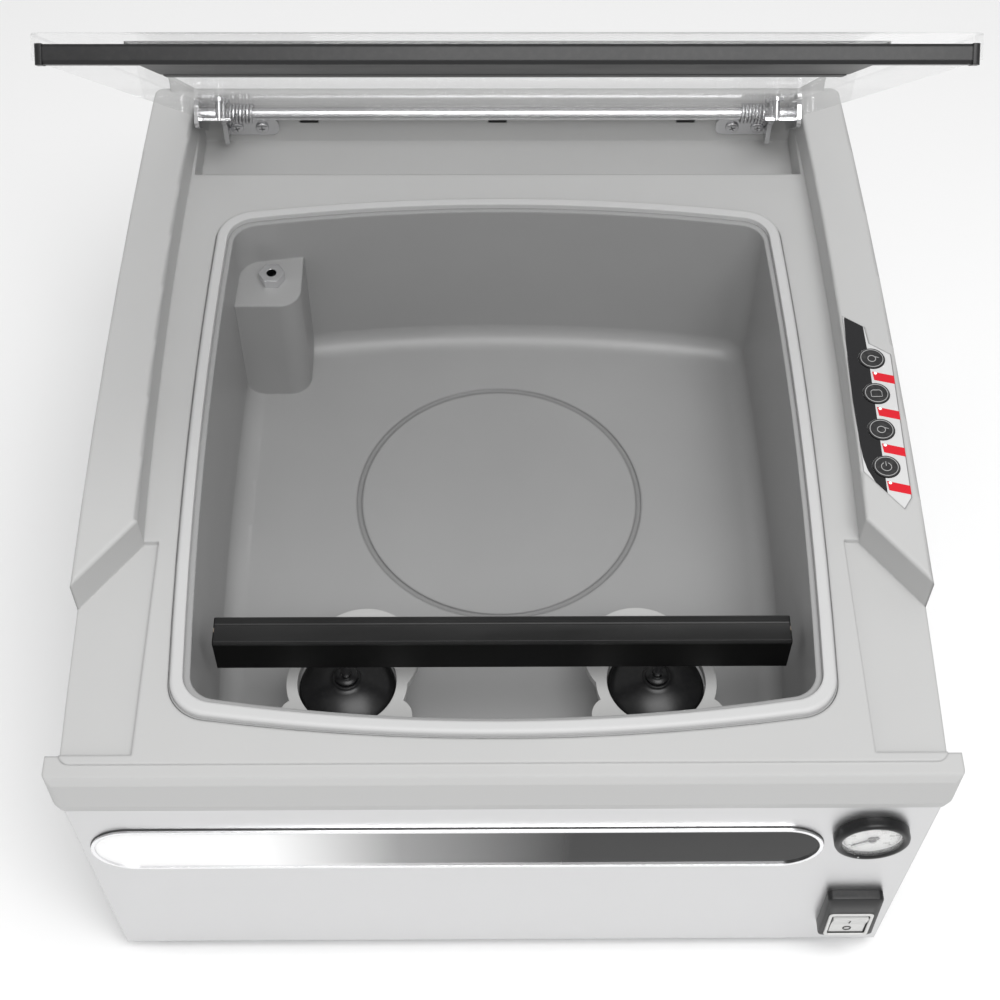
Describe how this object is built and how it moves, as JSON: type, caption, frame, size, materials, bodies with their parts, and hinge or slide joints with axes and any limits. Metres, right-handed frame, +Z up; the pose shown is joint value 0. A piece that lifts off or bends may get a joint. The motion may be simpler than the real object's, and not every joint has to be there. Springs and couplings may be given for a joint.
{
  "type": "vacuum packing machine",
  "caption": "Table-top chamber vacuum packing machine: hinged clear lid, moulded deck with gasketed chamber, lifting sealing bar, keypad, vacuum gauge and inner pump.",
  "frame": {"origin": "on the table under the middle of the base", "axes": "+Z up, the front with the gauge faces -Y, +X to the right seen from the front"},
  "size_m": [0.444, 0.48, 0.5606],
  "materials": {
    "cover_plastic": "matt moulded light grey",
    "chamber_plastic": "satin mid grey",
    "gasket_rubber": "soft grey",
    "chrome_plate": "bright",
    "tray_steel": "zinc coated",
    "panel_steel": "satin light grey",
    "screw_steel": "bright",
    "foot_rubber": "black",
    "mirror_trim": "polished",
    "trim_frame": "bright",
    "black_plastic": "black",
    "dial_white": "white printed",
    "needle_black": "black",
    "gauge_window": "clear",
    "rocker_plastic": "grey",
    "keypad_film": "printed film",
    "light_lens": "white",
    "button_plastic": "black",
    "clear_acrylic": "clear",
    "silicone": "dark",
    "bar_resin": "black",
    "wire_metal": "bare",
    "tape_film": "satin black",
    "collar_plastic": "white",
    "cast_metal": "cast",
    "fan_plastic": "black",
    "transformer_steel": "varnished",
    "board_resin": "green",
    "inlet_plastic": "black",
    "silencer_bronze": "sintered",
    "hose_rubber": "black",
    "plunger_steel": "ground"
  },
  "bodies": {
    "machine": {"top_cover": "cover_plastic", "chamber_tub": "chamber_plastic", "chamber_gasket": "gasket_rubber", "suction_plug": "chrome_plate", "base_pan": "tray_steel", "pump_base_plate": "tray_steel", "front_panel": "panel_steel", "side_panel_left": "panel_steel", "side_panel_right": "panel_steel", "rear_panel": "panel_steel", "panel_screws": "screw_steel", "hinge_screws": "screw_steel", "hinge_brackets": "screw_steel", "hinge_springs": "screw_steel", "pin_sockets": "screw_steel", "rubber_feet": "foot_rubber", "lift_bellows": "foot_rubber", "trim_strip": "mirror_trim", "trim_bezel": "trim_frame", "gauge_case": "black_plastic", "gauge_bezel": "black_plastic", "switch_housing": "black_plastic", "gauge_dial": "dial_white", "gauge_glass": "gauge_window", "control_film": "keypad_film", "pilot_lights": "light_lens", "lift_collars": "collar_plastic", "motor_housing": "cast_metal", "crankcases": "cast_metal", "cylinder_heads": "cast_metal", "valve_block": "cast_metal", "sealing_transformer": "transformer_steel", "control_board": "board_resin", "appliance_inlet": "inlet_plastic", "exhaust_silencer": "silencer_bronze", "suction_hose": "hose_rubber", "air_tubes": "hose_rubber", "wiring": "hose_rubber"},
    "lid": {"lid_plate": "clear_acrylic", "lid_front_bar": "black_plastic", "lid_end_caps": "black_plastic", "counter_bar": "black_plastic", "silicone_strip": "silicone", "lid_hinge_arms": "chrome_plate", "lid_arm_screws": "screw_steel", "hinge_shaft": "screw_steel"},
    "sealing_bar": {"sealing_bar_body": "bar_resin", "heating_wire": "wire_metal", "seal_tape": "tape_film", "bar_pins": "screw_steel"},
    "power_rocker": {"power_rocker": "rocker_plastic"},
    "gauge_needle": {"gauge_needle": "needle_black"},
    "pump_rotor": {"pump_shaft": "screw_steel", "cooling_fans": "fan_plastic"},
    "air_return_plunger": {"air_return_plunger": "plunger_steel"},
    "bellows_plunger": {"bellows_plunger": "plunger_steel"},
    "keypad_button_1": {"keypad_button_1": "button_plastic"},
    "keypad_button_2": {"keypad_button_2": "button_plastic"},
    "keypad_button_3": {"keypad_button_3": "button_plastic"},
    "keypad_button_4": {"keypad_button_4": "button_plastic"}
  },
  "joints": [
    {"name": "lid_hinge", "type": "hinge", "parent": "machine", "child": "lid", "pos_m": [0, 0.219, 0.241], "axis": [1, 0, 0], "range_deg": [0, 44.75]},
    {"name": "bar_lift", "type": "slide", "parent": "machine", "child": "sealing_bar", "axis": [0, 0, 1], "range_m": [0, 0.024]},
    {"name": "rocker_tilt", "type": "hinge", "parent": "machine", "child": "power_rocker", "pos_m": [0.1955, -0.232, 0.0493], "axis": [1, 0, 0], "range_deg": [-10, 0]},
    {"name": "needle_turn", "type": "hinge", "parent": "machine", "child": "gauge_needle", "pos_m": [0.1914, -0.235, 0.1513], "axis": [0, 1, 0], "range_deg": [0, 250], "stiffness_Nm_per_rad": 0.0005, "springref_deg": -11.46},
    {"name": "pump_spin", "type": "hinge", "parent": "machine", "child": "pump_rotor", "pos_m": [-0.12, 0.034, 0.0635], "axis": [1, 0, 0], "continuous": true},
    {"name": "air_return_stroke", "type": "slide", "parent": "machine", "child": "air_return_plunger", "axis": [0, 0, 1], "range_m": [0, 0.003], "stiffness_N_per_m": 400, "springref_m": -0.001},
    {"name": "bellows_stroke", "type": "slide", "parent": "machine", "child": "bellows_plunger", "axis": [0, 0, 1], "range_m": [0, 0.003], "stiffness_N_per_m": 400, "springref_m": -0.001},
    {"name": "button_1_press", "type": "slide", "parent": "machine", "child": "keypad_button_1", "axis": [0, 0, -1], "range_m": [0, 0.0012], "stiffness_N_per_m": 900, "springref_m": -0.0005},
    {"name": "button_2_press", "type": "slide", "parent": "machine", "child": "keypad_button_2", "axis": [0, 0, -1], "range_m": [0, 0.0012], "stiffness_N_per_m": 900, "springref_m": -0.0005},
    {"name": "button_3_press", "type": "slide", "parent": "machine", "child": "keypad_button_3", "axis": [0, 0, -1], "range_m": [0, 0.0012], "stiffness_N_per_m": 900, "springref_m": -0.0005},
    {"name": "button_4_press", "type": "slide", "parent": "machine", "child": "keypad_button_4", "axis": [0, 0, -1], "range_m": [0, 0.0012], "stiffness_N_per_m": 900, "springref_m": -0.0005}
  ]
}
